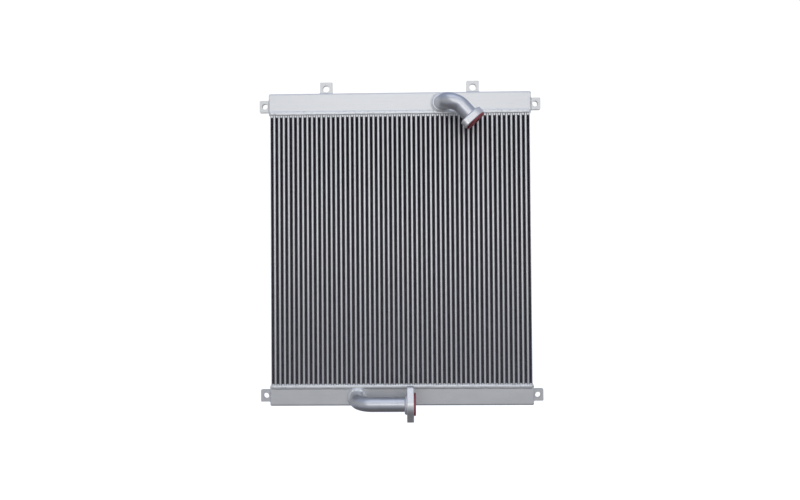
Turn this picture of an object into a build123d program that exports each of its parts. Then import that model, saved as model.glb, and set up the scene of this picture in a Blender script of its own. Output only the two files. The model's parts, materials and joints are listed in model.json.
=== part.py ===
from build123d import *
import os
from math import atan, cos, degrees, hypot, radians, sin, tan

# Hydraulic oil cooler, bar and plate type, all aluminium, in millimetres.
# +X runs across the core, -Y points out of the face that the ports stand on, +Z is up.
# The origin is the centre of the four side tab holes, on the front face of the tabs.

# ---------------------------------------------------------------- driving dimensions

# Core: upright air channels and oil channels, side by side along X.
air_channels = 55
air_gap = 8.0            # width of an air channel
oil_gap = 5.0            # width of an oil channel
sheet_thick = 0.8        # parting sheet between an air channel and an oil channel
side_plate_thick = 1.8
core_depth = 90.0
core_height = 840.0
core_front = -8.0        # Y of the core's and the tanks' front face
air_bar_height = 10.0    # bar that closes an air channel at its top and bottom
oil_bar_depth = 8.0      # bar that closes an oil channel at its front and rear
fin_recess = 3.0         # air fins stand back from the core's faces
fin_sheet = 0.25
fin_waves = 24
turbulator_sheet = 0.3
turbulator_waves = 9
turbulator_setback = 1.0 # from the ends of the oil channels
braze_gap = 0.05         # between a fin's crests and the sheets

# Tanks: bent plate channels with a plate at each end.
tank_wall = 5.0
top_tank_height = 65.0
bottom_tank_height = 58.0
tank_corner = 6.0        # outside bend radius
end_plate_thick = 4.0
end_bevel = 3.0          # the end plate's outline stands this far inside the channel's

# Tabs that bolt the cooler to its frame.
tab_thick = 8.0
tab_corner = 3.0
side_tab_reach = 30.5    # from the tank's end
side_tab_height = 37.0
side_hole_x = 418.0
side_hole_z = 447.5
side_hole_dia = 17.0
top_tab_width = 37.5
top_tab_height = 35.5
top_hole_x = 227.0
top_hole_z = 500.5
top_hole_dia = 21.0
tab_weld_leg = 5.0
bead_share = 0.96        # beads are tapered to this share of their leg, just short of a sharp edge

# Ports: bent pipes with two-bolt flanges. A slope is in degrees below +X.
pipe_wall = 3.0
upper_pipe_od = 46.0
upper_root = (126.7, 450.5)      # X, Z of the pipe where it leaves the tank
upper_standoff = 62.0            # pipe axis to the tank's face
upper_lean = 17.0                # degrees that the pipe leans as it leaves the tank
upper_slope = 24.0               # after the first bend
upper_final_slope = 47.5         # at the flange
upper_elbow_radius = 38.0
upper_between = 0.5              # straight between the two bends
upper_bend_radius = 45.0
upper_run = 56.5                 # end of the last bend to the flange's face
lower_pipe_od = 42.5
lower_root = (-136.0, -450.0)
lower_standoff = 75.0
lower_elbow_radius = 52.0
lower_flange_face = 36.5         # X of the lower flange's outer face
pipe_start = 4.0                 # the pipes reach this far past the tank wall, into the tank
collar_od = 53.0
collar_length = 9.0
collar_round = 2.0

flange_thick = 20.0
flange_middle_dia = 70.0
flange_ear_radius = 13.5
flange_bolt_span = 78.0
flange_bolt_dia = 13.0
flange_edge_round = 1.5
flange_socket_depth = 12.0       # the pipe's end sits this deep in the flange
upper_flange_turn = 48.0         # degrees that the upper flange's front ear is turned down and to the left

cap_brim_dia = 64.0
cap_brim_thick = 5.5
cap_brim_round = 1.5
cap_spigot_depth = 14.0
cap_spigot_wall = 1.6
cap_clearance = 0.05             # radial, between spigot and port
cap_grip_dia = 30.0
cap_grip_depth = 3.0
cap_seat_gap = 0.1

seam_bead_width = 14.0
seam_bead_proud = 3.0
end_bead_height = 12.0
collar_weld_leg = 3.0
root_weld_leg = 7.5
flange_weld_leg = 8.0

# ---------------------------------------------------------------- derived sizes

pitch = air_gap + oil_gap + 2 * sheet_thick
oil_channels = air_channels - 1
core_width = air_channels * air_gap + oil_channels * (oil_gap + 2 * sheet_thick) + 2 * side_plate_thick
half_width = core_width / 2
half_height = core_height / 2
core_rear = core_front + core_depth
core_mid = core_front + core_depth / 2
tank_end = half_width + end_plate_thick


def heading(slope):
    """Unit vector in the XZ plane, `slope` degrees below +X."""
    return Vector(cos(radians(slope)), 0, -sin(radians(slope)))


# Each pipe leaves the tank's face square to it, or leaning towards its next heading.
upper_exit = Vector(0, -cos(radians(upper_lean)), 0) + heading(upper_slope) * sin(radians(upper_lean))
lower_exit = Vector(0, -1, 0)
upper_seat = Plane((upper_root[0], core_front, upper_root[1]), x_dir=(1, 0, 0), z_dir=(0, -1, 0))
lower_seat = Plane((lower_root[0], core_front, lower_root[1]), x_dir=(1, 0, 0), z_dir=(0, -1, 0))

os.makedirs("parts", exist_ok=True)


def save(part, name):
    """Label a finished piece and write it as its own STEP file."""
    part.label = name
    export_step(part, f"parts/{name}.step")


def corrugation(half_span, half_length, waves, thickness):
    """Outline of a corrugated strip that runs along Y and folds from side to side in X."""
    step = half_length / waves
    width = thickness * hypot(2 * half_span, step) / step
    reach = half_span - width / 2
    spine = [((-reach, reach)[i % 2], -half_length + i * step) for i in range(2 * waves + 1)]
    right = [(x + width / 2, y) for x, y in spine]
    left = [(x - width / 2, y) for x, y in reversed(spine)]
    return right + left


# ---------------------------------------------------------------- core

for side, name in ((-1, "left_side_plate"), (1, "right_side_plate")):
    with BuildPart() as side_plate:
        with Locations((side * (half_width - side_plate_thick / 2), core_mid, 0)):
            Box(side_plate_thick, core_depth, core_height)
    save(side_plate.part, name)

with BuildPart() as parting_sheets:
    with Locations((0, core_mid, 0)):
        with GridLocations(pitch, 0, oil_channels, 1):
            with GridLocations(oil_gap + sheet_thick, 0, 2, 1):
                Box(sheet_thick, core_depth, core_height)
save(parting_sheets.part, "parting_sheets")

for y, name in (
    (core_front + oil_bar_depth / 2, "front_oil_bars"),
    (core_rear - oil_bar_depth / 2, "rear_oil_bars"),
):
    with BuildPart() as oil_bars:
        with Locations((0, y, 0)):
            with GridLocations(pitch, 0, oil_channels, 1):
                Box(oil_gap, oil_bar_depth, core_height)
    save(oil_bars.part, name)

for side, name in ((1, "top_air_bars"), (-1, "bottom_air_bars")):
    with BuildPart() as air_bars:
        with Locations((0, core_mid, side * (half_height - air_bar_height / 2))):
            with GridLocations(pitch, 0, air_channels, 1):
                Box(air_gap, core_depth, air_bar_height)
    save(air_bars.part, name)

fin_profile = corrugation(
    air_gap / 2 - braze_gap, half_height - air_bar_height - braze_gap, fin_waves, fin_sheet
)
with BuildPart() as air_fins:
    with BuildSketch(Plane.XZ.offset(-(core_front + fin_recess))):
        with GridLocations(pitch, 0, air_channels, 1):
            Polygon(*fin_profile, align=Align.CENTER)
    extrude(amount=-(core_depth - 2 * fin_recess))
save(air_fins.part, "air_fins")

turbulator_profile = corrugation(
    oil_gap / 2 - braze_gap,
    core_depth / 2 - oil_bar_depth - braze_gap,
    turbulator_waves,
    turbulator_sheet,
)
with BuildPart() as oil_turbulators:
    with BuildSketch(Plane.XY.offset(-(half_height - turbulator_setback))):
        with Locations((0, core_mid)):
            with GridLocations(pitch, 0, oil_channels, 1):
                Polygon(*turbulator_profile, align=Align.CENTER)
    extrude(amount=core_height - 2 * turbulator_setback)
save(oil_turbulators.part, "oil_turbulators")

# ---------------------------------------------------------------- tanks


def tank_outline(side, height, inset=0.0, foot=0.0):
    """Section of a tank across its length, `inset` inside its outside: flat towards the core, where it
    runs `foot` past the seam, and rounded at its two outer corners."""
    outer_height = height - inset
    with BuildSketch() as outline:
        with Locations((core_mid, side * (half_height + (outer_height - foot) / 2))):
            Rectangle(core_depth - 2 * inset, outer_height + foot)
        corners = outline.vertices().sort_by(Axis.Y)
        fillet(corners[-2:] if side > 0 else corners[:2], tank_corner - inset)
    return outline.sketch


tank_pieces = {}
for side, height, seat, exit_way, pipe_od, label in (
    (1, top_tank_height, upper_seat, upper_exit, upper_pipe_od, "top_tank"),
    (-1, bottom_tank_height, lower_seat, lower_exit, lower_pipe_od, "bottom_tank"),
):
    with BuildPart() as shell:
        with BuildSketch(Plane.YZ.offset(-half_width)):
            add(tank_outline(side, height))
            add(tank_outline(side, height, inset=tank_wall), mode=Mode.SUBTRACT)
        extrude(amount=core_width)
        with Locations(Plane(seat.origin + exit_way * pipe_od, z_dir=exit_way)):
            Hole(pipe_od / 2, depth=1.5 * pipe_od)
    save(shell.part, f"{label}_shell")

    # The end plate is smaller than the channel, and its weld fills the step round it.
    plate_section = tank_outline(side, height, inset=end_bevel)
    for end, end_name in ((-1, "left"), (1, "right")):
        with BuildPart() as end_plate:
            with BuildSketch(Plane.YZ.offset(end * half_width)):
                add(plate_section)
            extrude(amount=end * end_plate_thick)
        save(end_plate.part, f"{label}_{end_name}_end")

    foot = 2 * end_bevel
    with BuildPart() as end_welds:
        with BuildSketch(Plane.YZ.offset(half_width)):
            add(tank_outline(side, height, foot=foot))
        extrude(amount=end_plate_thick, taper=degrees(atan(end_bevel / end_plate_thick)))
        with BuildSketch(Plane.YZ.offset(half_width)):
            add(tank_outline(side, height, inset=end_bevel, foot=2 * foot))
        extrude(amount=end_plate_thick, mode=Mode.SUBTRACT)
        split(bisect_by=Plane.XY.offset(side * half_height), keep=Keep.TOP if side > 0 else Keep.BOTTOM)
        mirror(about=Plane.YZ)
    save(end_welds.part, f"{label}_end_welds")

    # One bead runs right round the seam between the tank and the core.
    seam_z = side * half_height
    with BuildPart() as seam_weld:
        for face_y, out in ((core_front, -1), (core_rear, 1)):
            with BuildSketch(Plane.YZ.offset(-tank_end)):
                with BuildLine():
                    low = (face_y, seam_z - seam_bead_width / 2)
                    high = (face_y, seam_z + seam_bead_width / 2)
                    ThreePointArc(low, (face_y + out * seam_bead_proud, seam_z), high)
                    Line(high, low)
                make_face()
            extrude(amount=2 * tank_end)
        with BuildSketch(Plane.XZ.offset(-core_front)):
            for end in (-1, 1):
                with BuildLine():
                    Polyline(
                        (end * half_width, seam_z),
                        (end * tank_end, seam_z),
                        (end * half_width, seam_z - side * end_bead_height),
                        close=True,
                    )
                make_face()
        extrude(amount=-core_depth)
    save(seam_weld.part, f"{label}_seam_weld")
    tank_pieces[label] = (shell.part, seam_weld.part)

# ---------------------------------------------------------------- mounting tabs


def tab_plate(plane, width, height, hole_xz, hole_dia, outward):
    """Flat tab from y = 0 to its thickness. Its corners are round at the free end, along `outward`."""
    with BuildPart() as tab:
        with BuildSketch(plane) as face:
            Rectangle(width, height)
            free = face.vertices().sort_by(outward)[-2:]
            fillet(free, tab_corner)
        extrude(amount=-tab_thick)
        with Locations(Plane((hole_xz[0], 0, hole_xz[1]), x_dir=(1, 0, 0), z_dir=(0, -1, 0))):
            Hole(hole_dia / 2)
    return tab.part


def tab_weld(plane, root_width, tab):
    """Fillet weld right round a tab's root, standing on `plane`."""
    with BuildPart() as weld:
        with BuildSketch(plane):
            RectangleRounded(
                root_width + 2 * tab_weld_leg, tab_thick + 2 * tab_weld_leg, tab_weld_leg
            )
        extrude(amount=tab_weld_leg * bead_share, taper=45)
        add(tab, mode=Mode.SUBTRACT)
    return weld.part


side_welds = []
for side_x, x_name in ((-1, "left"), (1, "right")):
    for side_z, z_name in ((1, "top"), (-1, "bottom")):
        centre_x = side_x * (tank_end + side_tab_reach / 2)
        face_plane = Plane((centre_x, 0, side_z * side_hole_z), x_dir=(1, 0, 0), z_dir=(0, -1, 0))
        tab = tab_plate(
            face_plane,
            side_tab_reach,
            side_tab_height,
            (side_x * side_hole_x, side_z * side_hole_z),
            side_hole_dia,
            Axis((0, 0, 0), (side_x, 0, 0)),
        )
        save(tab, f"{z_name}_{x_name}_side_tab")
        root_plane = Plane(
            (side_x * tank_end, tab_thick / 2, side_z * side_hole_z),
            x_dir=(0, 0, 1),
            z_dir=(side_x, 0, 0),
        )
        side_welds.append(tab_weld(root_plane, side_tab_height, tab))

top_face_z = half_height + top_tank_height
top_welds = []
for side_x, x_name in ((-1, "left"), (1, "right")):
    face_plane = Plane(
        (side_x * top_hole_x, 0, top_face_z + top_tab_height / 2), x_dir=(1, 0, 0), z_dir=(0, -1, 0)
    )
    tab = tab_plate(
        face_plane,
        top_tab_width,
        top_tab_height,
        (side_x * top_hole_x, top_hole_z),
        top_hole_dia,
        Axis.Z,
    )
    save(tab, f"top_{x_name}_tab")
    root_plane = Plane((side_x * top_hole_x, tab_thick / 2, top_face_z), x_dir=(1, 0, 0))
    top_welds.append(tab_weld(root_plane, top_tab_width, tab))

save(Compound(children=side_welds), "side_tab_welds")
save(Compound(children=top_welds), "top_tab_welds")

# ---------------------------------------------------------------- ports


def bent_pipe(points, radii, pipe_od):
    """Tube along a run of straights and tangent bends."""
    with BuildPart() as pipe:
        with BuildLine() as route:
            FilletPolyline(*points, radius=radii)
        with BuildSketch(Plane(route.wire() @ 0, z_dir=route.wire() % 0)):
            Circle(pipe_od / 2)
            Circle(pipe_od / 2 - pipe_wall, mode=Mode.SUBTRACT)
        sweep()
    return pipe.part


def two_bolt_flange(face, pipe_od):
    """Two-bolt flange. `face` is its outer face: z_dir points out, x_dir runs through the bolt holes."""
    with BuildPart() as flange:
        with BuildSketch(face):
            with Locations((-flange_bolt_span / 2, 0), (flange_bolt_span / 2, 0)):
                Circle(flange_ear_radius)
            Circle(flange_middle_dia / 2)
            make_hull()
        extrude(amount=-flange_thick)
        rims = flange.faces().filter_by(Axis(face.origin, face.z_dir))
        chamfer(rims.edges(), flange_edge_round)
        with Locations(face):
            Hole(pipe_od / 2 - pipe_wall)
            with Locations((-flange_bolt_span / 2, 0), (flange_bolt_span / 2, 0)):
                Hole(flange_bolt_dia / 2)
        with BuildSketch(face.offset(-flange_thick)):
            Circle(pipe_od / 2)
        extrude(amount=flange_socket_depth, mode=Mode.SUBTRACT)
    return flange.part


def ring_weld(plane, inner_radius, leg, around=()):
    """Fillet weld round a pipe or collar, standing on `plane` and fitted to the pieces around it."""
    with BuildPart() as weld:
        with BuildSketch(plane):
            Circle(inner_radius + leg)
        extrude(amount=leg * bead_share, taper=45)
        if around:
            with BuildSketch(plane):
                Circle(inner_radius + leg)
            extrude(amount=-tank_wall / 2)
        with Locations(plane):
            Hole(inner_radius)
        for piece in around:
            add(piece, mode=Mode.SUBTRACT)
    return weld.part


def port_cap(face, pipe_od):
    """Protective cap: a brim on the flange's face and a hollow spigot in the port."""
    seat = face.offset(cap_seat_gap)
    outward = Axis(face.origin, face.z_dir)
    spigot_radius = pipe_od / 2 - pipe_wall - cap_clearance
    with BuildPart() as cap:
        with BuildSketch(seat):
            Circle(cap_brim_dia / 2)
        extrude(amount=cap_brim_thick)
        fillet(cap.faces().filter_by(outward).sort_by(outward)[-1].edges(), cap_brim_round)
        with BuildSketch(seat.offset(cap_brim_thick)):
            Circle(cap_grip_dia / 2)
        extrude(amount=-cap_grip_depth, mode=Mode.SUBTRACT)
        with BuildSketch(seat):
            Circle(spigot_radius)
            Circle(spigot_radius - cap_spigot_wall, mode=Mode.SUBTRACT)
        extrude(amount=-cap_spigot_depth)
    return cap.part


def port(name, route, radii, face, pipe_od):
    """Pipe, flange, flange weld and cap of one port."""
    save(bent_pipe(route, radii, pipe_od), f"{name}_pipe")
    save(two_bolt_flange(face, pipe_od), f"{name}_flange")
    back = Plane(face.offset(-flange_thick).origin, x_dir=face.x_dir, z_dir=-face.z_dir)
    save(ring_weld(back, pipe_od / 2, flange_weld_leg), f"{name}_flange_weld")
    save(port_cap(face, pipe_od), f"{name}_port_cap")


pipe_stop = flange_thick - flange_socket_depth    # the pipe's end stops this far behind the flange's face

# Upper port: leaning out of the tank, round to the right, then down to the flange.
first = upper_seat.origin + upper_exit * (upper_standoff / cos(radians(upper_lean)))
elbow_tangent = upper_elbow_radius * tan(radians(90 - upper_lean) / 2)
bend_tangent = upper_bend_radius * tan(radians(upper_final_slope - upper_slope) / 2)
second = first + heading(upper_slope) * (elbow_tangent + upper_between + bend_tangent)
axis_out = heading(upper_final_slope)
upper_face_point = second + axis_out * (bend_tangent + upper_run)
across = Vector(-axis_out.Z, 0, axis_out.X)
turn = radians(upper_flange_turn)
upper_face = Plane(
    upper_face_point,
    x_dir=Vector(0, -1, 0) * cos(turn) - across * sin(turn),
    z_dir=axis_out,
)
upper_start = upper_seat.origin - upper_exit * (tank_wall + pipe_start)
port(
    "upper",
    [upper_start, first, second, upper_face_point - axis_out * pipe_stop],
    [upper_elbow_radius, upper_bend_radius],
    upper_face,
    upper_pipe_od,
)

# Lower port: straight out of the tank and straight along to the flange.
corner = lower_seat.origin + lower_exit * lower_standoff
lower_face = Plane((lower_flange_face, corner.Y, corner.Z), x_dir=(0, 0, 1), z_dir=(1, 0, 0))
lower_start = lower_seat.origin - lower_exit * (tank_wall + pipe_start)
port(
    "lower",
    [lower_start, corner, lower_face.origin - lower_face.z_dir * pipe_stop],
    [lower_elbow_radius],
    lower_face,
    lower_pipe_od,
)

# The upper pipe leaves the tank through a turned collar, the lower one through a weld alone.
with BuildPart() as collar:
    with BuildSketch(upper_seat):
        Circle(collar_od / 2)
    extrude(amount=collar_length)
    fillet(collar.edges().sort_by(Axis.Y)[0], collar_round)
    with Locations(Plane(upper_seat.origin + upper_exit * upper_pipe_od, z_dir=upper_exit)):
        Hole(upper_pipe_od / 2, depth=2 * upper_pipe_od)
    add(tank_pieces["top_tank"][1], mode=Mode.SUBTRACT)
save(collar.part, "upper_pipe_collar")

collar_weld = ring_weld(upper_seat, collar_od / 2, collar_weld_leg, tank_pieces["top_tank"])
save(collar_weld, "upper_root_weld")

root_weld = ring_weld(lower_seat, lower_pipe_od / 2, root_weld_leg, tank_pieces["bottom_tank"])
save(root_weld, "lower_root_weld")
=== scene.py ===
import json
import math

import bmesh
import bpy
from bpy.props import FloatProperty, FloatVectorProperty, IntProperty, PointerProperty
from bpy.types import Operator, Panel, PropertyGroup
from mathutils import Matrix, Vector, noise


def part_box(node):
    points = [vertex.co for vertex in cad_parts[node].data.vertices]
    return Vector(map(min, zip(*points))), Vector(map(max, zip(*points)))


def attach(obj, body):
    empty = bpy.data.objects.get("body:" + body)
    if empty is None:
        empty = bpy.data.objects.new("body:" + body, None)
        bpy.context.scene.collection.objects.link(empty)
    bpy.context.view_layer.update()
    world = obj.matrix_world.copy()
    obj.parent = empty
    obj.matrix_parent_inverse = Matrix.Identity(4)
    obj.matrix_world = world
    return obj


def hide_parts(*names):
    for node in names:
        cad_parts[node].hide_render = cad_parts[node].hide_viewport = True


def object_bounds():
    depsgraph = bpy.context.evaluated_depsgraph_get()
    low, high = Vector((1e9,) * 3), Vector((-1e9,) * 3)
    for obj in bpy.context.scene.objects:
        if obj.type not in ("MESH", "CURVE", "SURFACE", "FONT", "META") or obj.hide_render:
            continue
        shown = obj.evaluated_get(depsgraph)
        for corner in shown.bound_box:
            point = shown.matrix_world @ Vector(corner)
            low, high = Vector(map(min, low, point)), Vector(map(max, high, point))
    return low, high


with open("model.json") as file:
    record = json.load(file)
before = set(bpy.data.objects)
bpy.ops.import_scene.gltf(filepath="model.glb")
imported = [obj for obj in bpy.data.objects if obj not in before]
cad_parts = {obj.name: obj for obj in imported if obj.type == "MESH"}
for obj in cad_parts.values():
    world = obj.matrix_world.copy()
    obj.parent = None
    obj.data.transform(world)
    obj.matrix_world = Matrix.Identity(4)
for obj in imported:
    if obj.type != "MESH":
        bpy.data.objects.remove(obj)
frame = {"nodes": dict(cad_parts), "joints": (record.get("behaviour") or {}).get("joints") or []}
cad_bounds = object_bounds()

bl_info = {
    "name": "Oil cooler",
    "version": (1, 0, 0),
    "blender": (4, 5, 0),
    "location": "3D View > Sidebar > Cooler",
    "description": "Fins, bars, weld beads and finishes of a bar and plate oil cooler",
    "category": "Object",
}

COOLER = "cooler"
SAME_PLACE = 1e-5           # two points nearer than this stand at the same place, in metres


# ------------------------------------------------------------------ sizes and colours

def metres(label, text, default, **limits):
    """A length property."""
    return FloatProperty(name=label, description=text, default=default, unit="LENGTH",
                         precision=5, **limits)


def colour(label, text, default):
    """A linear colour property."""
    return FloatVectorProperty(name=label, description=text, default=default, size=3,
                               subtype="COLOR", min=0.0, max=1.0)


class CoreSizes(PropertyGroup):
    """Sizes of the fins and bars between the two side plates."""
    channels: IntProperty(name="Air channels", description="Number of air channels", default=55)
    pitch: metres("Pitch", "From one air channel to the next", 0.0146)
    oil_bar_width: metres("Oil bar width", "Width of an oil channel's closing bar", 0.005)
    air_bar_width: metres("Air bar width", "Width of an air channel's closing bar", 0.008)
    bar_round: metres("Bar rounding", "Rounding along the bars' long edges", 0.0009)
    nose_round: metres("Nose rounding", "Rounding of the air bars' ends", 0.0022)
    fin_waves: IntProperty(name="Fin waves", description="Folds of one air fin from end to end", default=164)
    fin_crest: metres("Fin crest", "Flat top of a fin's fold", 0.001)
    fin_sheet: metres("Fin sheet", "Thickness of the fin's sheet", 0.00022)
    fin_swerve: metres("Fin swerve", "How far the fin's wavy passage swerves up and down", 0.0046)
    fin_steps: IntProperty(name="Fin steps", description="Straight stretches of a passage through the core",
                           default=4)
    fin_groups: IntProperty(name="Fin groups", description="Pieces that the air fins are made in", default=5)


class WeldSizes(PropertyGroup):
    """Sizes of the weld beads."""
    seam_half_width: metres("Seam half width", "Half the seam bead's width", 0.0066)
    seam_proud: metres("Seam height", "How far the seam bead stands out of the plate", 0.0023)
    top_seam_lift: metres("Top seam lift", "How far the top seam bead climbs onto its tank", 0.0034)
    end_radius: metres("End bead radius", "Radius of the beads round the end plates", 0.0028)
    tab_radius: metres("Tab bead radius", "Radius of the beads at the tabs' roots", 0.0034)
    ripple: metres("Ripple pitch", "From one ripple of a bead to the next", 0.0031)
    seam_overrun: metres("Seam overrun", "How far a seam bead runs past the core", 0.002)
    side_half_width: metres("Side seam half width", "Half the width of the seam beads on the sides", 0.0085)
    side_proud: metres("Side seam height", "How far those beads stand out", 0.0034)
    end_inset: metres("End bead inset", "How far the end beads lie inside the tank's outline", 0.0022)
    end_corner: metres("End bead corner", "Length of an end bead's rounded corner", 0.006)
    tab_corner: metres("Tab bead corner", "Length of a tab bead's rounded corner", 0.002)


class Finishes(PropertyGroup):
    """Colours of the finishes."""
    plate: colour("Tank plate", "Mill finished aluminium plate", (0.80, 0.80, 0.79))
    bar: colour("Core bar", "Aluminium bars and sheets of the core", (0.76, 0.765, 0.765))
    # The fin colour is dark as painted shade: it stands in for the shade deep in the air channels.
    fin: colour("Fin strip", "Dark coated fin strip", (0.19, 0.176, 0.215))
    tab: colour("Tab plate", "Aluminium plate of the tabs", (0.78, 0.78, 0.765))
    tube: colour("Pipe tube", "Drawn aluminium tube", (0.66, 0.67, 0.70))
    flange: colour("Machined flange", "Machined aluminium", (0.80, 0.80, 0.80))
    bead: colour("Weld bead", "Aluminium weld metal", (0.80, 0.81, 0.81))
    cap: colour("Port cap", "Red moulded plastic", (0.30, 0.035, 0.050))


class StageSizes(PropertyGroup):
    """Camera, floor and light."""
    camera_place: FloatVectorProperty(name="Camera place", description="Where the camera stands",
                                      default=(0.02028, -1.5, -0.01598), subtype="TRANSLATION", unit="LENGTH")
    camera_turn: FloatVectorProperty(name="Camera turn", description="Pitch, roll and yaw from level",
                                     default=(0.0101, 0.0078, 0.0146), subtype="EULER", unit="ROTATION")
    lens: FloatProperty(name="Lens", description="Focal length on a 36 mm wide sensor, in millimetres",
                        default=21.88)
    floor_drop: metres("Floor drop", "Floor below the lowest point of the cooler", 0.20)
    floor_size: metres("Floor size", "Half the floor's width", 30.0)


def core():
    return bpy.context.scene.cooler_core


def weld():
    return bpy.context.scene.cooler_weld


def tint():
    return bpy.context.scene.cooler_tint


# ------------------------------------------------------------------ modelling tools

def clear_selection():
    """Leaves nothing selected, in object mode."""
    if bpy.context.object and bpy.context.object.mode != "OBJECT":
        bpy.ops.object.mode_set(mode="OBJECT")
    bpy.ops.object.select_all(action="DESELECT")


def block(name, low, high):
    """A box primitive between two corners, active and in edit mode, with everything deselected."""
    clear_selection()
    low, high = Vector(low), Vector(high)
    bpy.ops.mesh.primitive_cube_add(size=1.0, location=(low + high) / 2, scale=high - low)
    piece = bpy.context.object
    piece.name = piece.data.name = name
    bpy.ops.object.transform_apply(location=True, rotation=True, scale=True)
    bpy.ops.object.mode_set(mode="EDIT")
    bpy.ops.mesh.select_all(action="DESELECT")
    return piece


def pick(piece, kind, test):
    """In edit mode, selects only the elements of one kind whose middle and direction pass the test."""
    bpy.ops.mesh.select_mode(type=kind)
    bpy.ops.mesh.select_all(action="DESELECT")
    mesh = bmesh.from_edit_mesh(piece.data)
    if kind == "VERT":
        found = [v for v in mesh.verts if test(v.co)]
    elif kind == "EDGE":
        found = [e for e in mesh.edges
                 if test((e.verts[0].co + e.verts[1].co) / 2, (e.verts[1].co - e.verts[0].co).normalized())]
    else:
        mesh.normal_update()
        found = [f for f in mesh.faces if test(f.calc_center_median(), f.normal)]
    for element in found:
        element.select_set(True)
    mesh.select_flush_mode()
    bmesh.update_edit_mesh(piece.data)


def modify(piece, kind, **settings):
    """Adds a modifier and applies it."""
    if piece.mode != "OBJECT":
        bpy.ops.object.mode_set(mode="OBJECT")
    bpy.context.view_layer.objects.active = piece
    modifier = piece.modifiers.new(kind.title(), kind)
    for key, value in settings.items():
        setattr(modifier, key, value)
    bpy.ops.object.modifier_apply(modifier=modifier.name)


def row(piece, count, step):
    """Repeats a piece along a step."""
    modify(piece, "ARRAY", count=count, use_relative_offset=False, use_constant_offset=True,
           constant_offset_displace=step)


def close_up(piece, smooth_angle=40):
    """Merges doubles, turns the faces outward and shades the piece smooth up to an angle."""
    clear_selection()
    bpy.context.view_layer.objects.active = piece
    piece.select_set(True)
    bpy.ops.object.mode_set(mode="EDIT")
    bpy.ops.mesh.select_all(action="SELECT")
    bpy.ops.mesh.remove_doubles(threshold=1e-6)
    bpy.ops.mesh.normals_make_consistent(inside=False)
    bpy.ops.object.mode_set(mode="OBJECT")
    bpy.ops.object.shade_smooth_by_angle(angle=math.radians(smooth_angle))
    clear_selection()


def hand_over(piece, finish, slot, *nodes):
    """Gives a piece its finish and its body and hides the CAD nodes that it stands for. The slot is not used.
    """
    piece.data.materials.clear()
    piece.data.materials.append(finish)
    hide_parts(*nodes)
    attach(piece, COOLER)


# ------------------------------------------------------------------ shader tools

class Wire:
    """A shader socket that can be used in Python sums."""

    def __init__(self, finish, socket):
        self.finish = finish
        self.socket = socket

    def sum(self, operation, *values):
        return self.finish.node("ShaderNodeMath", {"operation": operation}, dict(enumerate(values)))

    def __add__(self, other):
        return self.sum("ADD", self, other)

    def __sub__(self, other):
        return self.sum("SUBTRACT", self, other)

    def __rsub__(self, other):
        return self.sum("SUBTRACT", other, self)

    def __mul__(self, other):
        return self.sum("MULTIPLY", self, other)

    def __truediv__(self, other):
        return self.sum("DIVIDE", self, other)

    def floor(self):
        return self.sum("FLOOR", self)

    def above(self, level, softness):
        """0 below the level, 1 above it, with a soft step."""
        return self.finish.node("ShaderNodeMapRange", {"interpolation_type": "SMOOTHSTEP"},
                                {"Value": self, "From Min": level - softness, "From Max": level + softness})

    __radd__ = __add__
    __rmul__ = __mul__


class Finish:
    """A material under construction."""

    def __init__(self, name):
        self.material = bpy.data.materials.new(name)
        self.material.use_nodes = True
        self.tree = self.material.node_tree
        self.tree.nodes.clear()
        self.place = self.node("ShaderNodeTexCoord", {}, {}, "Object")

    def node(self, kind, settings, inputs, output=0):
        """Adds a node, makes its settings, then sets or links its inputs."""
        made = self.tree.nodes.new(kind)
        for key, value in settings.items():
            setattr(made, key, value)
        for key, value in inputs.items():
            if isinstance(value, Wire):
                self.tree.links.new(value.socket, made.inputs[key])
            else:
                made.inputs[key].default_value = value
        return Wire(self, made.outputs[output]) if len(made.outputs) else None

    def stretched(self, scale):
        """Object coordinates, scaled along each axis."""
        return self.node("ShaderNodeMapping", {"vector_type": "POINT"},
                         {"Vector": self.place, "Scale": scale})

    def grain(self, scale, detail=3.0, roughness=0.5):
        """Noise from 0 to 1, with its own scale along each axis, in cells per metre."""
        return self.node("ShaderNodeTexNoise", {},
                         {"Vector": self.stretched(scale), "Scale": 1.0, "Detail": detail,
                          "Roughness": roughness})

    def axis(self, letter):
        return self.node("ShaderNodeSeparateXYZ", {}, {"Vector": self.place}, letter)

    def mix(self, first, second, factor):
        """Mixes two colours."""
        made = self.tree.nodes.new("ShaderNodeMix")
        made.data_type = "RGBA"
        sockets = {"Factor_Float": factor, "A_Color": first, "B_Color": second}
        for socket in made.inputs:
            value = sockets.get(socket.identifier)
            if isinstance(value, Wire):
                self.tree.links.new(value.socket, socket)
            elif value is not None:
                socket.default_value = value
        result = next(s for s in made.outputs if s.identifier == "Result_Color")
        return Wire(self, result)

    def done(self, bumps=(), **inputs):
        """Ends the material in one Principled shader. Each bump is a height and its depth in metres."""
        normal = None
        for height, depth in bumps:
            sockets = {"Height": height, "Distance": depth, "Strength": 1.0}
            if normal is not None:
                sockets["Normal"] = normal
            normal = self.node("ShaderNodeBump", {}, sockets)
        sockets = {key.replace("_", " "): value for key, value in inputs.items()}
        if normal is not None:
            sockets["Normal"] = normal
        shader = self.node("ShaderNodeBsdfPrincipled", {}, sockets)
        self.node("ShaderNodeOutputMaterial", {}, {"Surface": shader})
        return self.material


def shade(rgb, factor=1.0):
    """A linear colour, made lighter or darker, as four numbers."""
    return (*(min(1.0, c * factor) for c in rgb), 1.0)


MADE = {}


def finish_of(slot):
    """The finished material of a slot, made the first time that it is asked for."""
    if slot not in MADE:
        MADE[slot] = MAKERS[slot]()
    return MADE[slot]


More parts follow.
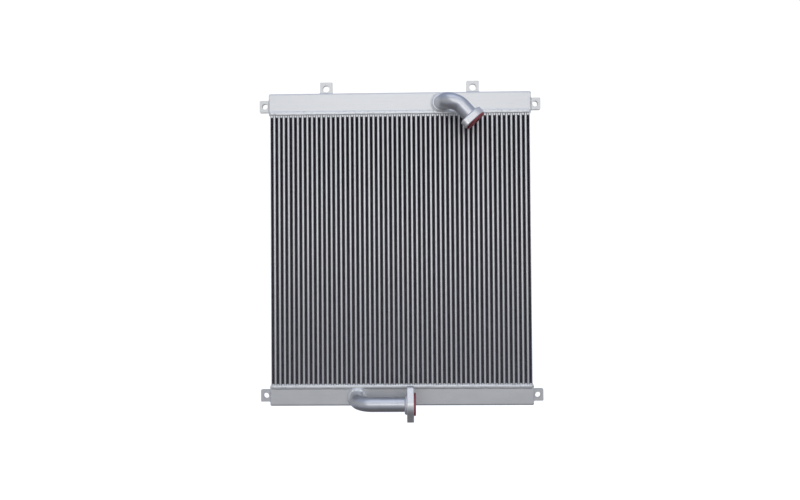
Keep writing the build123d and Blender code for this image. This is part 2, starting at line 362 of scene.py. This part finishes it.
def plate_finish():
    """Mill finished aluminium plate: long rolling lines, cloudy stains and small scratches."""
    f = Finish("tank_plate")
    lines = f.grain((6.0, 60.0, 900.0), detail=4.0)
    clouds = f.grain((14.0, 22.0, 26.0), detail=4.0, roughness=0.6)
    specks = f.grain((900.0, 900.0, 900.0), detail=2.0)
    scratch = f.grain((25.0, 300.0, 1600.0), detail=1.0).above(0.69, 0.02)
    base = f.mix(shade(tint().plate, 0.90), shade(tint().plate, 1.05), clouds)
    base = f.mix(base, shade(tint().plate, 1.12), lines * 0.45)
    base = f.mix(base, shade(tint().plate, 0.78), scratch * 0.35)
    rough = 0.36 + clouds * 0.16 + specks * 0.06 - scratch * 0.08
    return f.done(bumps=[(lines, 0.00004), (specks, 0.00003)], Base_Color=base, Roughness=rough,
                  Metallic=0.82)


def bar_finish():
    """Aluminium bars of the core: each a little lighter or darker than the next, drawn along its length."""
    f = Finish("core_bar")
    number = (f.axis("X") / core().pitch).floor()
    each = f.node("ShaderNodeTexWhiteNoise", {"noise_dimensions": "1D"}, {"W": number}, "Value")
    drawn = f.grain((1500.0, 1500.0, 9.0), detail=3.0)
    patches = f.grain((80.0, 80.0, 18.0), detail=3.0, roughness=0.6)
    flux = f.grain((400.0, 400.0, 160.0), detail=2.0).above(0.66, 0.05)
    base = f.mix(shade(tint().bar, 0.84), shade(tint().bar, 1.10), each * 0.55 + patches * 0.45)
    base = f.mix(base, shade(tint().bar, 1.14), drawn * 0.3)
    base = f.mix(base, shade(tint().bar, 0.70), flux * 0.35)
    rough = 0.34 + patches * 0.16 + flux * 0.14
    return f.done(bumps=[(drawn, 0.00003), (flux, 0.00004)], Base_Color=base, Roughness=rough, Metallic=0.80)


def sheet_painted_shade_finish():
    """Clad parting sheets, dull beside the drawn bars and darker than them: partly the clad sheet's own tone,
    partly painted shade of the air channels' walls.
    """
    f = Finish("parting_sheet")
    patches = f.grain((90.0, 90.0, 22.0), detail=4.0, roughness=0.65)
    # Base well below the bar colour: painted shade where the sheets' sides line the air channels.
    base = f.mix(shade(tint().bar, 0.34), shade(tint().bar, 0.62), patches)
    return f.done(bumps=[(patches, 0.00003)], Base_Color=base, Roughness=0.5 + patches * 0.2, Metallic=0.6)


def fin_painted_shade_finish():
    """Fin strip, dark as painted shade of the air channels' recesses, dusty and slightly glossy."""
    f = Finish("fin_strip")
    dust = f.grain((60.0, 90.0, 40.0), detail=4.0, roughness=0.65)
    fold = f.grain((500.0, 40.0, 500.0), detail=2.0)
    # Dark base: painted shade of the air channels, made lighter in random dusty patches.
    base = f.mix(shade(tint().fin, 0.55), shade(tint().fin, 1.7), dust)
    base = f.mix(base, shade(tint().fin, 2.6), fold.above(0.62, 0.06) * 0.4)
    return f.done(bumps=[(fold, 0.00003)], Base_Color=base, Roughness=0.5 + dust * 0.25, Metallic=0.25)


def tab_finish():
    """Cut aluminium plate of the tabs."""
    f = Finish("tab_plate")
    clouds = f.grain((60.0, 60.0, 60.0), detail=4.0, roughness=0.6)
    lines = f.grain((900.0, 90.0, 12.0), detail=3.0)
    base = f.mix(shade(tint().tab, 0.86), shade(tint().tab, 1.06), clouds)
    base = f.mix(base, shade(tint().tab, 1.15), lines * 0.35)
    return f.done(bumps=[(lines, 0.00004)], Base_Color=base, Roughness=0.40 + clouds * 0.18, Metallic=0.80)


def tube_finish():
    """Drawn aluminium tube: smooth and a little dull, with handling marks."""
    f = Finish("pipe_tube")
    clouds = f.grain((40.0, 40.0, 40.0), detail=4.0, roughness=0.6)
    fine = f.grain((1100.0, 1100.0, 1100.0), detail=2.0)
    marks = f.grain((260.0, 260.0, 60.0), detail=2.0).above(0.70, 0.03)
    base = f.mix(shade(tint().tube, 0.88), shade(tint().tube, 1.10), clouds)
    base = f.mix(base, shade(tint().tube, 0.72), marks * 0.30)
    rough = 0.27 + clouds * 0.12 + fine * 0.04 + marks * 0.10
    return f.done(bumps=[(fine, 0.00002)], Base_Color=base, Roughness=rough, Metallic=0.92)


def flange_finish():
    """Machined aluminium with fine tool marks."""
    f = Finish("machined_flange")
    tool = f.grain((300.0, 2600.0, 300.0), detail=2.0)
    clouds = f.grain((50.0, 50.0, 50.0), detail=3.0)
    base = f.mix(shade(tint().flange, 0.92), shade(tint().flange, 1.10), clouds)
    base = f.mix(base, shade(tint().flange, 1.2), tool * 0.25)
    return f.done(bumps=[(tool, 0.00004)], Base_Color=base, Roughness=0.28 + clouds * 0.14 + tool * 0.06,
                  Metallic=0.80)


def bead_finish():
    """Weld metal: bright crests, with sooty patches in the hollows."""
    f = Finish("weld_bead")
    clouds = f.grain((70.0, 70.0, 70.0), detail=4.0, roughness=0.65)
    pits = f.grain((1400.0, 1400.0, 1400.0), detail=2.0)
    soot = f.grain((120.0, 120.0, 160.0), detail=4.0, roughness=0.7).above(0.60, 0.08)
    base = f.mix(shade(tint().bead, 0.92), shade(tint().bead, 1.12), clouds)
    base = f.mix(base, shade((0.34, 0.36, 0.34)), soot * 0.35)
    rough = 0.36 + clouds * 0.18 + soot * 0.15
    return f.done(bumps=[(pits, 0.00006)], Base_Color=base, Roughness=rough, Metallic=0.85)


def cap_finish():
    """Red moulded plastic."""
    f = Finish("red_plastic")
    mottle = f.grain((90.0, 90.0, 90.0), detail=3.0)
    skin = f.grain((1600.0, 1600.0, 1600.0), detail=2.0)
    base = f.mix(shade(tint().cap, 0.85), shade(tint().cap, 1.15), mottle)
    return f.done(bumps=[(skin, 0.00003)], Base_Color=base, Roughness=0.34 + mottle * 0.14)


MAKERS = {
    "tank_plate": plate_finish,
    "core_bar": bar_finish,
    "parting_sheet": sheet_painted_shade_finish,
    "fin_strip": fin_painted_shade_finish,
    "tab_plate": tab_finish,
    "pipe_tube": tube_finish,
    "machined_flange": flange_finish,
    "weld_bead": bead_finish,
    "red_plastic": cap_finish,
}


# ------------------------------------------------------------------ the core's fins and bars

class COOLER_OT_air_fins(Operator):
    """Folds the wavy air fins, in a few side by side groups"""
    bl_idname = "cooler.air_fins"
    bl_label = "Air fins"

    def execute(self, context):
        s = core()
        low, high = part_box("air_fins")
        across = s.fin_sheet / 2
        rise = (high.z - low.z) / s.fin_waves
        lean = rise / 2 - s.fin_crest
        width = s.air_bar_width - 0.0001
        per_group = s.channels // s.fin_groups
        clear_selection()
        bpy.ops.mesh.primitive_grid_add(x_subdivisions=4, y_subdivisions=s.fin_steps, size=1.0)
        strip = bpy.context.object
        strip.name = strip.data.name = "air_fin_strip"
        # The grid's rows become the folds of one wave: crest, leg, crest, leg.
        bpy.ops.transform.resize(value=(rise, high.y - low.y, 1.0))
        bpy.ops.transform.rotate(value=math.radians(90), orient_axis="Y", center_override=(0, 0, 0))
        bpy.ops.object.transform_apply(location=True, rotation=True, scale=True)
        heights = [0.0, s.fin_crest, s.fin_crest + lean, 2 * s.fin_crest + lean, rise]
        sides = [0, 0, 1, 1, 0]
        bpy.ops.object.mode_set(mode="EDIT")
        spots = sorted({round(v.co.z, 6) for v in bmesh.from_edit_mesh(strip.data).verts})
        for spot, height, side in reversed(list(zip(spots, heights, sides))):
            pick(strip, "VERT", lambda co: abs(co.z - spot) < SAME_PLACE)
            bpy.ops.transform.translate(value=(low.x + across + side * (width - 2 * across),
                                               0.0, low.z + height - spot))
        # Every other row across the depth is pushed up, so that the passage swerves.
        depths = sorted({round(v.co.y, 6) for v in bmesh.from_edit_mesh(strip.data).verts})
        middle = (low.y + high.y) / 2
        for number, depth in enumerate(depths):
            pick(strip, "VERT", lambda co: abs(co.y - depth) < SAME_PLACE)
            bpy.ops.transform.translate(value=(0.0, 0.0, (number % 2) * s.fin_swerve))
        bpy.ops.mesh.select_all(action="SELECT")
        bpy.ops.transform.translate(value=(0.0, middle, 0.0))
        bpy.ops.object.mode_set(mode="OBJECT")
        waves = s.fin_waves - 1
        modify(strip, "ARRAY", count=waves, use_relative_offset=False, use_constant_offset=True,
               constant_offset_displace=(0.0, 0.0, rise), use_merge_vertices=True,
               merge_threshold=SAME_PLACE)
        modify(strip, "SOLIDIFY", thickness=s.fin_sheet, offset=0.0, use_even_offset=True)
        row(strip, per_group, (s.pitch, 0.0, 0.0))
        close_up(strip, 30)
        for number in range(s.fin_groups):
            piece = strip if number == s.fin_groups - 1 else strip.copy()
            if piece is not strip:
                piece.data = strip.data.copy()
                context.collection.objects.link(piece)
            piece.name = piece.data.name = f"air_fins_{number + 1}"
            piece.data.transform(Matrix.Translation((number * per_group * s.pitch, 0.0, 0.0)))
            hand_over(piece, finish_of("fin_strip"), "fin_strip", "air_fins")
        return {"FINISHED"}


class COOLER_OT_oil_bars(Operator):
    """Lays the rounded bars that close the oil channels at the front and the rear"""
    bl_idname = "cooler.oil_bars"
    bl_label = "Oil bars"

    def execute(self, context):
        s = core()
        for node in ("front_oil_bars", "rear_oil_bars"):
            low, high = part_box(node)
            bar = block(node + "_drawn", low, (low.x + s.oil_bar_width, high.y, high.z))
            pick(bar, "EDGE", lambda middle, along: abs(along.z) > 0.9)
            bpy.ops.mesh.bevel(offset=s.bar_round, segments=3, affect="EDGES")
            bpy.ops.object.mode_set(mode="OBJECT")
            row(bar, s.channels - 1, (s.pitch, 0.0, 0.0))
            close_up(bar)
            hand_over(bar, finish_of("core_bar"), "core_bar", node)
        return {"FINISHED"}


class COOLER_OT_air_bars(Operator):
    """Lays the bars with rounded noses that close the air channels at the top and the bottom"""
    bl_idname = "cooler.air_bars"
    bl_label = "Air bars"

    def execute(self, context):
        s = core()
        for node in ("top_air_bars", "bottom_air_bars"):
            low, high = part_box(node)
            bar = block(node + "_nosed", low, (low.x + s.air_bar_width, high.y, high.z))
            ends = (low.y, high.y)
            pick(bar, "EDGE", lambda middle, along: min(abs(middle.y - y) for y in ends) < SAME_PLACE)
            bpy.ops.mesh.bevel(offset=s.nose_round, segments=4, affect="EDGES")
            bpy.ops.object.mode_set(mode="OBJECT")
            row(bar, s.channels, (s.pitch, 0.0, 0.0))
            close_up(bar)
            hand_over(bar, finish_of("core_bar"), "core_bar", node)
        return {"FINISHED"}


# ------------------------------------------------------------------ weld beads

def wobble(place, seed, size):
    """Smooth noise from -1 to 1 at a place, with its own seed."""
    return noise.noise((place[0] / size + seed * 7.3, place[1] / size - seed * 3.1, place[2] / size + seed))


def bead(name, runs, seed, ripple_height=0.10, rough=0.12, section=12, step=0.0011):
    """
    A rippled weld bead, as one closed shell for each run.

    A run is (points, normals, half width, height, closed): the bead lies along the points, stands
    out of the plate along the normals and sinks as far into it. A ripple can't be pulled out
    of a tube by hand tools, so the shell is written point by point.
    """
    mesh = bpy.data.meshes.new(name)
    verts, faces = [], []
    for run_number, (points, normals, half, proud, closed) in enumerate(runs):
        line, outs = resample(points, normals, closed, step)
        rings = len(line)
        start = len(verts)
        for i, (here, out) in enumerate(zip(line, outs)):
            ahead = line[(i + 1) % rings] if closed or i + 1 < rings else here
            behind = line[i - 1] if closed or i else here
            along = (ahead - behind).normalized()
            side = along.cross(out).normalized()
            out = side.cross(along).normalized()
            travelled = i * step
            taper = 1.0
            if not closed:
                near_end = min(i, rings - 1 - i) * step / half
                taper = math.sqrt(max(0.0, 1 - (1 - min(1.0, near_end)) ** 2)) * 0.98 + 0.02
            key = seed + run_number
            for k in range(section):
                turn = 2 * math.pi * k / section
                u, v = math.cos(turn), math.sin(turn)
                edge = here + side * (u * half)
                wide = 1 + 0.16 * wobble(edge, key, 0.017) + 0.10 * wobble(edge, key + 5, 0.006)
                tall = 1 + rough * wobble(edge, key + 9, 0.012) + rough * 0.6 * wobble(edge, key + 11, 0.005)
                phase = travelled / weld().ripple + 0.55 * u * u + 0.35 * wobble(here, key + 3, 0.02)
                crest = abs(math.sin(math.pi * phase))
                tall *= 1 - ripple_height + ripple_height * crest * 1.6
                verts.append(here + side * (u * half * wide * taper) + out * (v * proud * tall * taper))
        for i in range(rings if closed else rings - 1):
            a, b = start + i * section, start + ((i + 1) % rings) * section
            for k in range(section):
                m = (k + 1) % section
                faces.append((a + k, a + m, b + m, b + k))
        if not closed:
            faces.append(tuple(start + k for k in reversed(range(section))))
            faces.append(tuple(start + (rings - 1) * section + k for k in range(section)))
    mesh.from_pydata([tuple(v) for v in verts], [], faces)
    mesh.update()
    piece = bpy.data.objects.new(name, mesh)
    bpy.context.collection.objects.link(piece)
    close_up(piece, 60)
    return piece


def resample(points, normals, closed, step):
    """Even steps along a run of points, with the normals turned evenly between them."""
    points = [Vector(p) for p in points]
    normals = [Vector(n) for n in normals]
    if closed:
        points.append(points[0])
        normals.append(normals[0])
    line, outs = [], []
    left = 0.0
    for a, b, m, n in zip(points, points[1:], normals, normals[1:]):
        length = (b - a).length
        along = left
        while along < length:
            share = along / length
            line.append(a.lerp(b, share))
            outs.append(m.lerp(n, share).normalized())
            along += step
        left = along - length
    return line, outs


def ring(centre, axis, radius, tilt, count=72):
    """Points of a circle round an axis, and normals that lean from the radius towards the axis by a tilt."""
    axis = Vector(axis).normalized()
    first = axis.orthogonal().normalized()
    second = axis.cross(first)
    points, normals = [], []
    for i in range(count):
        turn = 2 * math.pi * i / count
        radial = first * math.cos(turn) + second * math.sin(turn)
        points.append(Vector(centre) + radial * radius)
        normals.append(radial * math.cos(tilt) + axis * math.sin(tilt))
    return points, normals


def outline(corners, radius, count=6):
    """Points round a convex polygon with its corners rounded, in order."""
    found = []
    total = len(corners)
    for i, corner in enumerate(corners):
        corner = Vector(corner)
        back = (Vector(corners[i - 1]) - corner).normalized()
        on = (Vector(corners[(i + 1) % total]) - corner).normalized()
        for k in range(count + 1):
            share = k / count
            a = corner + back * (radius * (1 - share) ** 2)
            found.append(a + on * (radius * share ** 2))
    return found


class COOLER_OT_seam_beads(Operator):
    """Lays the long beads that join each tank to the core"""
    bl_idname = "cooler.seam_beads"
    bl_label = "Seam beads"

    def execute(self, context):
        w = weld()
        for number, tank in enumerate(("top", "bottom")):
            up = 1 if tank == "top" else -1
            node = tank + "_tank_seam_weld"
            core_low, core_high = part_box("left_side_plate")
            front, rear = core_low.y, core_high.y
            seam = core_high.z + w.top_seam_lift if up > 0 else core_low.z
            end = -core_low.x
            runs = []
            for y, out in ((front, -1), (rear, 1)):
                points = [(-end - w.seam_overrun, y, seam), (end + w.seam_overrun, y, seam)]
                runs.append((points, [(0, out, 0)] * 2, w.seam_half_width, w.seam_proud, False))
            for side in (-1, 1):
                slant = Vector((side, 0, -0.35 * up))
                points = [(side * (end + 0.0006), front - 0.001, seam - 0.003 * up),
                          (side * (end + 0.0006), rear + 0.001, seam - 0.003 * up)]
                runs.append((points, [slant] * 2, w.side_half_width, w.side_proud, False))
            piece = bead(tank + "_seam_bead", runs, 11 + number)
            hand_over(piece, finish_of("weld_bead"), "weld_bead", node)
        return {"FINISHED"}


class COOLER_OT_end_beads(Operator):
    """Lays the beads round the tanks' end plates"""
    bl_idname = "cooler.end_beads"
    bl_label = "End plate beads"

    def execute(self, context):
        w = weld()
        for number, tank in enumerate(("top", "bottom")):
            low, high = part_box(tank + "_tank_shell")
            runs = []
            for side in (-1, 1):
                x = side * (high.x + 0.0012)
                inset = Vector((0, w.end_inset, w.end_inset))
                points = outline(rectangle(low + inset, high - inset, "YZ", x), w.end_corner)
                middle = Vector((x, (low.y + high.y) / 2, (low.z + high.z) / 2))
                normals = [(Vector((side * 0.9, 0, 0)) + (p - middle).normalized() * 0.9) for p in points]
                runs.append((points, normals, w.end_radius, w.end_radius * 0.8, True))
            piece = bead(tank + "_end_bead", runs, 31 + number)
            hand_over(piece, finish_of("weld_bead"), "weld_bead", tank + "_tank_end_welds")
        return {"FINISHED"}


class COOLER_OT_tab_beads(Operator):
    """Lays the beads at the roots of the tabs"""
    bl_idname = "cooler.tab_beads"
    bl_label = "Tab beads"

    def execute(self, context):
        w = weld()
        runs = []
        for tank in ("top", "bottom"):
            for side, word in ((-1, "left"), (1, "right")):
                low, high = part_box(f"{tank}_{word}_side_tab")
                x = low.x if side > 0 else high.x
                points = outline(rectangle(low, high, "YZ", x), w.tab_corner)
                middle = Vector((x, (low.y + high.y) / 2, (low.z + high.z) / 2))
                normals = [Vector((side, 0, 0)) + square_out(p - middle, low, high, "YZ") for p in points]
                runs.append((points, normals, w.tab_radius * 1.25, w.tab_radius * 0.8, True))
        piece = bead("side_tab_beads", runs, 51)
        hand_over(piece, finish_of("weld_bead"), "weld_bead", "side_tab_welds")
        runs = []
        for word in ("left", "right"):
            low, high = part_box(f"top_{word}_tab")
            points = outline(rectangle(low, high, "XY", low.z), w.tab_corner)
            middle = Vector(((low.x + high.x) / 2, (low.y + high.y) / 2, low.z))
            normals = [Vector((0, 0, 1)) + square_out(p - middle, low, high, "XY") for p in points]
            runs.append((points, normals, w.tab_radius * 1.25, w.tab_radius * 0.8, True))
        piece = bead("top_tab_beads", runs, 61)
        hand_over(piece, finish_of("weld_bead"), "weld_bead", "top_tab_welds")
        return {"FINISHED"}


def rectangle(low, high, plane, level):
    """The four corners of a box's section, in order, in a plane at a level along its third axis."""
    a, b = ("xyz".index(c) for c in plane.lower())
    third = 3 - a - b
    corners = []
    for first, second in ((low, low), (high, low), (high, high), (low, high)):
        corner = [0.0, 0.0, 0.0]
        corner[a], corner[b], corner[third] = first[a], second[b], level
        corners.append(tuple(corner))
    return corners


def square_out(offset, low, high, plane):
    """The outward direction of the side of a rectangle that an offset from its middle lies on."""
    size = (high - low) / 2
    a, b = ("xyz".index(c) for c in plane.lower())
    result = Vector((0, 0, 0))
    first, second = abs(offset[a]) / size[a], abs(offset[b]) / size[b]
    top = max(first, second)
    if first > top - 0.1:
        result[a] = math.copysign(1, offset[a])
    if second > top - 0.1:
        result[b] = math.copysign(1, offset[b])
    return result.normalized()


class COOLER_OT_pipe_beads(Operator):
    """Lays the ring beads at both ends of the two pipes"""
    bl_idname = "cooler.pipe_beads"
    bl_label = "Pipe beads"

    def execute(self, context):
        # How far a bead's centre line lies inside the rim of its weld, and how far it is lifted off the root.
        flange_inset, flange_lift = 0.0042, 0.0012
        root_inset, rough_root_inset = 0.0014, 0.0036
        root_lift = 0.0025
        joints = {j["name"]: j for j in frame["joints"]}
        for name, node, joint, half, proud, rough in (
                ("upper_flange_bead", "upper_flange_weld", "upper_cap_pull", 0.0048, 0.0034, 0.10),
                ("lower_flange_bead", "lower_flange_weld", "lower_cap_pull", 0.0048, 0.0034, 0.10),
                ("upper_root_bead", "upper_root_weld", None, 0.0026, 0.0020, 0.10),
                ("lower_root_bead", "lower_root_weld", None, 0.0088, 0.0058, 0.30)):
            low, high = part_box(node)
            middle = (low + high) / 2
            if joint:
                axis = Vector(joints[joint]["axis"]).normalized()
                radius = (high.y - low.y) / 2 - flange_inset
                tilt = -math.radians(45)
                centre = middle + axis * flange_lift
            else:
                axis = Vector((0, -1, 0))
                inset = rough_root_inset if rough > 0.2 else root_inset
                radius = (high.x - low.x) / 2 - inset
                tilt = math.radians(45)
                centre = Vector((middle.x, high.y - root_lift, middle.z))
            points, normals = ring(centre, axis, radius, tilt)
            piece = bead(name, [(points, normals, half, proud, True)], 71, ripple_height=0.12, rough=rough,
                         section=14)
            hand_over(piece, finish_of("weld_bead"), "weld_bead", node)
        return {"FINISHED"}


# ------------------------------------------------------------------ finishes of the other parts

class COOLER_OT_finishes(Operator):
    """Gives the plates, tubes, flanges and caps their finishes"""
    bl_idname = "cooler.finishes"
    bl_label = "Finishes"

    def execute(self, context):
        groups = {
            "tank_plate": ["top_tank_shell", "bottom_tank_shell", "top_tank_left_end", "top_tank_right_end",
                           "bottom_tank_left_end", "bottom_tank_right_end", "left_side_plate",
                           "right_side_plate"],
            "parting_sheet": ["parting_sheets"],
            "fin_strip": ["oil_turbulators"],
            "tab_plate": ["top_left_side_tab", "top_right_side_tab", "bottom_left_side_tab",
                          "bottom_right_side_tab", "top_left_tab", "top_right_tab"],
            "pipe_tube": ["upper_pipe", "lower_pipe", "upper_pipe_collar"],
            "machined_flange": ["upper_flange", "lower_flange"],
            "red_plastic": ["upper_port_cap", "lower_port_cap"],
        }
        for slot, nodes in groups.items():
            for node in nodes:
                piece = frame["nodes"][node]
                piece.data.materials.clear()
                piece.data.materials.append(finish_of(slot))
        return {"FINISHED"}


# ------------------------------------------------------------------ stage

def glowing(name, glow, strength, diffuse=None):
    """A plain material for the stage, part glow and part matt paint."""
    f = Finish(name)
    light = f.node("ShaderNodeEmission", {}, {"Color": glow, "Strength": strength})
    if diffuse is not None:
        paint = f.node("ShaderNodeBsdfDiffuse", {}, {"Color": diffuse})
        light = f.node("ShaderNodeAddShader", {}, {0: light, 1: paint})
    f.node("ShaderNodeOutputMaterial", {}, {"Surface": light})
    return f.material


def softbox(name, place, aim, width, height, power):
    """A rectangular soft light that points at a place."""
    light = bpy.data.lights.new(name, "AREA")
    light.shape = "RECTANGLE"
    light.size, light.size_y = width, height
    light.energy = power
    lamp = bpy.data.objects.new(name, light)
    lamp.location = place
    lamp.rotation_euler = (Vector(aim) - Vector(place)).to_track_quat("-Z", "Y").to_euler()
    bpy.context.collection.objects.link(lamp)
    lamp.visible_camera = False


class COOLER_OT_stage(Operator):
    """Sets up the floor, the backdrop, the light and the camera"""
    bl_idname = "cooler.stage"
    bl_label = "Stage"

    def execute(self, context):
        s = context.scene.cooler_stage
        clear_selection()
        low, high = cad_bounds
        floor_z = low[2] - s.floor_drop
        bpy.ops.mesh.primitive_circle_add(vertices=96, radius=s.floor_size, fill_type="NGON",
                                          location=(0, 0, floor_z))
        floor = context.object
        floor.name = "floor"
        floor.data.materials.append(glowing("pale_floor", (1, 1, 1, 1), 0.75, (0.9, 0.9, 0.9, 1)))
        bpy.ops.mesh.primitive_uv_sphere_add(segments=48, ring_count=24, radius=s.floor_size)
        dome = context.object
        dome.name = "backdrop"
        dome.data.materials.append(glowing("white_backdrop", (1, 1, 1, 1), 1.05))
        for piece in (floor, dome):
            for ray in ("visible_diffuse", "visible_glossy", "visible_transmission", "visible_volume_scatter",
                        "visible_shadow"):
                setattr(piece, ray, False)
        self.light_room(context)
        self.light_lamps()
        self.place_camera(context, s)
        return {"FINISHED"}

    def light_room(self, context):
        """A soft room whose walls get lighter from below the horizon to overhead."""
        world = bpy.data.worlds.new("soft_room")
        context.scene.world = world
        world.use_nodes = True
        tree = world.node_tree
        tree.nodes.clear()
        place = tree.nodes.new("ShaderNodeTexCoord")
        split = tree.nodes.new("ShaderNodeSeparateXYZ")
        ramp = tree.nodes.new("ShaderNodeValToRGB")
        half = tree.nodes.new("ShaderNodeMath")
        half.operation = "MULTIPLY_ADD"
        half.inputs[1].default_value = 0.5
        half.inputs[2].default_value = 0.5
        back = tree.nodes.new("ShaderNodeBackground")
        out = tree.nodes.new("ShaderNodeOutputWorld")
        # Each stop is a height, from straight down to straight up, and half the light from there.
        stops = ((-1.00, (0.050, 0.050, 0.055)), (-0.60, (0.085, 0.085, 0.095)), (-0.40, (0.21, 0.225, 0.27)),
                 (-0.30, (0.185, 0.195, 0.22)), (-0.20, (0.165, 0.165, 0.17)), (-0.06, (0.24, 0.24, 0.238)),
                 (0.10, (0.38, 0.38, 0.375)), (0.28, (0.60, 0.60, 0.595)), (0.46, (0.34, 0.40, 0.50)),
                 (0.72, (0.22, 0.30, 0.48)), (1.00, (0.14, 0.17, 0.25)))
        ramp.color_ramp.elements.remove(ramp.color_ramp.elements[1])
        for number, (height, tone) in enumerate(stops):
            element = ramp.color_ramp.elements[0] if number == 0 else ramp.color_ramp.elements.new(0.5)
            element.position = 0.5 + height / 2
            element.color = (*tone, 1)
        tree.links.new(place.outputs["Generated"], split.inputs[0])
        tree.links.new(split.outputs["Z"], half.inputs[0])
        tree.links.new(half.outputs[0], ramp.inputs[0])
        tree.links.new(ramp.outputs[0], back.inputs["Color"])
        tree.links.new(back.outputs[0], out.inputs["Surface"])
        back.inputs["Strength"].default_value = 2.0

    def light_lamps(self):
        softbox("overhead", (0.0, -1.2, 2.6), (0, 0, 0), width=3.0, height=1.6, power=9)
        softbox("top_front", (0.0, -1.5, 1.05), (0, 0, 0.42), width=3.0, height=0.55, power=4.5)
        softbox("front_strip", (0.0, -2.8, 0.30), (0, 0, -0.2), width=3.4, height=0.7, power=12)

    def place_camera(self, context, s):
        data = bpy.data.cameras.new("camera")
        data.lens = s.lens
        data.sensor_width = 36.0
        camera = bpy.data.objects.new("camera", data)
        context.collection.objects.link(camera)
        pitch, roll, yaw = s.camera_turn
        camera.matrix_world = (Matrix.Translation(s.camera_place) @ Matrix.Rotation(yaw, 4, "Z")
                               @ Matrix.Rotation(pitch, 4, "X") @ Matrix.Rotation(roll, 4, "Y")
                               @ Matrix.Rotation(math.radians(90), 4, "X"))
        context.scene.camera = camera
        context.scene.view_settings.view_transform = "Standard"


# ------------------------------------------------------------------ panel and registration

class COOLER_PT_panel(Panel):
    """Sizes, colours and the making of each group of pieces"""
    bl_label = "Oil cooler"
    bl_space_type = "VIEW_3D"
    bl_region_type = "UI"
    bl_category = "Cooler"

    def draw(self, context):
        for operator in MAKING:
            self.layout.operator(operator.bl_idname)
        for group in PROPERTIES:
            box = self.layout.box()
            for key in PROPERTIES[group].__annotations__:
                box.prop(getattr(context.scene, group), key)


PROPERTIES = {"cooler_core": CoreSizes, "cooler_weld": WeldSizes, "cooler_tint": Finishes,
              "cooler_stage": StageSizes}
MAKING = (COOLER_OT_finishes, COOLER_OT_air_fins, COOLER_OT_oil_bars, COOLER_OT_air_bars,
          COOLER_OT_seam_beads, COOLER_OT_end_beads, COOLER_OT_tab_beads, COOLER_OT_pipe_beads,
          COOLER_OT_stage)


def register():
    for cls in (*PROPERTIES.values(), *MAKING, COOLER_PT_panel):
        bpy.utils.register_class(cls)
    for name, cls in PROPERTIES.items():
        setattr(bpy.types.Scene, name, PointerProperty(type=cls))


def unregister():
    for name in PROPERTIES:
        delattr(bpy.types.Scene, name)
    for cls in reversed((*PROPERTIES.values(), *MAKING, COOLER_PT_panel)):
        bpy.utils.unregister_class(cls)


def main():
    register()
    for operator in MAKING:
        getattr(bpy.ops.cooler, operator.bl_idname.split(".")[1])()


if __name__ == "__main__":
    main()
